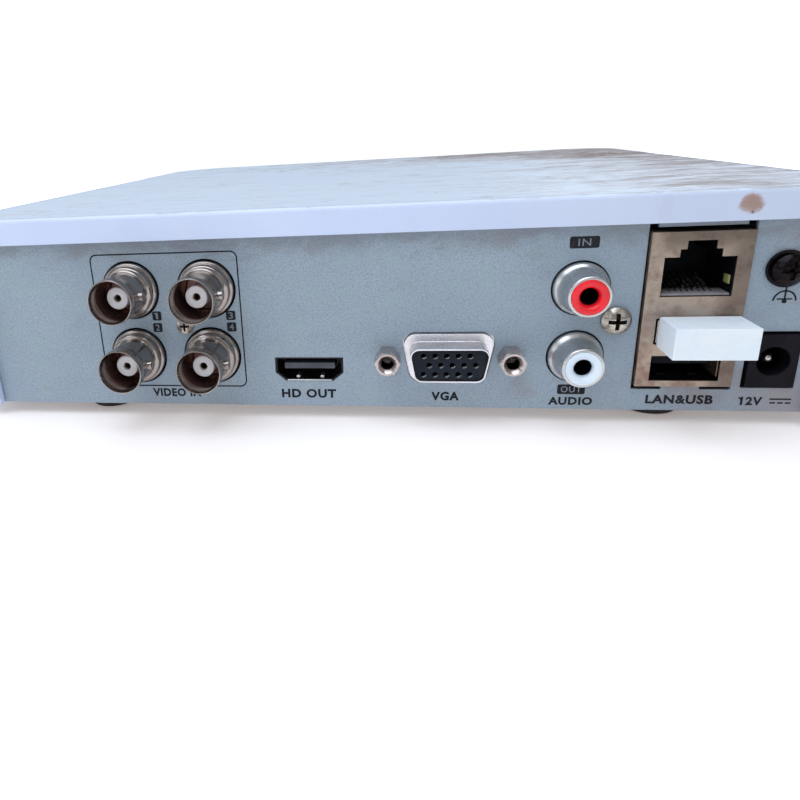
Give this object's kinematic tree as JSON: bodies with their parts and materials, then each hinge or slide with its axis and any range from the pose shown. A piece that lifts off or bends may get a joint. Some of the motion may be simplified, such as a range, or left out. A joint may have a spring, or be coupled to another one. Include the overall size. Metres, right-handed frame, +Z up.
{
  "type": "dvr recorder",
  "caption": "Small white-cased video recorder with a grey metal rear panel of coaxial, digital video, monitor, audio, network, USB and power sockets.",
  "frame": {"origin": "centre of the bounding box in plan, on the plane the feet rest on", "axes": "-Y out of the rear panel, +X to the right as the rear panel is faced, +Z up"},
  "size_m": [0.1886, 0.2002, 0.0467],
  "materials": {
    "white_plastic": "satin moulded white",
    "panel_steel": "grey galvanised sheet",
    "foot_rubber": "matt",
    "zinc_screw": "zinc plated",
    "nickel": "nickel plated, a little dull",
    "shield_nickel": "dull warm nickel",
    "ptfe": "white insulator",
    "contact_brass": "gold flashed",
    "black_plastic": "moulded black",
    "red_ring": "moulded red",
    "white_ring": "moulded white",
    "black_steel": "black oxide",
    "dongle_white": "moulded white",
    "board_green": "solder mask",
    "chip_black": "moulded package",
    "aluminium": "anodised",
    "can_sleeve": "printed sleeve",
    "cell_steel": "bright",
    "clear_plastic": "diffusing clear",
    "cable_red": "flat cable",
    "cable_black": "flat cable"
  },
  "bodies": {
    "base": {"chassis": "panel_steel", "foot_1": "foot_rubber", "foot_2": "foot_rubber", "foot_3": "foot_rubber", "foot_4": "foot_rubber", "cover_screws": "zinc_screw", "bnc_housing": "black_plastic", "bnc_shell_1": "nickel", "bnc_shell_2": "nickel", "bnc_shell_3": "nickel", "bnc_shell_4": "nickel", "bnc_insulator_1": "ptfe", "bnc_insulator_2": "ptfe", "bnc_insulator_3": "ptfe", "bnc_insulator_4": "ptfe", "bnc_contact_1": "contact_brass", "bnc_contact_2": "contact_brass", "bnc_contact_3": "contact_brass", "bnc_contact_4": "contact_brass", "bnc_screw": "zinc_screw", "hd_shell": "nickel", "hd_tongue": "black_plastic", "vga_shell": "nickel", "vga_insert": "black_plastic", "vga_jackscrews": "nickel", "rca_shell_in": "nickel", "rca_shell_out": "nickel", "rca_ring_in": "red_ring", "rca_ring_out": "white_ring", "rca_housing": "black_plastic", "rca_screw": "zinc_screw", "lan_shield": "shield_nickel", "lan_insert": "black_plastic", "lan_contacts": "contact_brass", "usb_core": "black_plastic", "dc_body": "black_plastic", "dc_pin": "nickel", "ground_screw": "black_steel", "ground_washer": "black_steel", "main_board": "board_green", "board_screws": "zinc_screw", "processor": "chip_black", "heatsink": "aluminium", "memory_chip": "chip_black", "capacitor": "can_sleeve", "coin_cell": "cell_steel", "cell_holder": "black_plastic", "buzzer": "black_plastic", "disk_socket": "black_plastic", "disk_base": "aluminium", "disk_lid": "cell_steel", "disk_screws": "zinc_screw", "data_cable": "cable_red", "power_cable": "cable_black"},
    "cover": {"top_cover": "white_plastic", "light_guide": "clear_plastic"},
    "dongle": {"dongle_cap": "dongle_white", "dongle_plug": "nickel"},
    "platters": {"disk_platters": "aluminium"},
    "actuator": {"disk_actuator": "aluminium"}
  },
  "joints": [
    {"name": "cover_lift", "type": "slide", "parent": "base", "child": "cover", "axis": [0, 0, 1], "range_m": [0, 0.06]},
    {"name": "dongle_pull", "type": "slide", "parent": "base", "child": "dongle", "axis": [0, -1, 0], "range_m": [0, 0.02]},
    {"name": "platter_spin", "type": "hinge", "parent": "base", "child": "platters", "pos_m": [-0.022, 0.04185, 0.02], "axis": [0, 0, 1], "continuous": true},
    {"name": "actuator_swing", "type": "hinge", "parent": "base", "child": "actuator", "pos_m": [0.04, 0.06785, 0.02], "axis": [0, 0, 1], "range_deg": [-35, 0]}
  ]
}
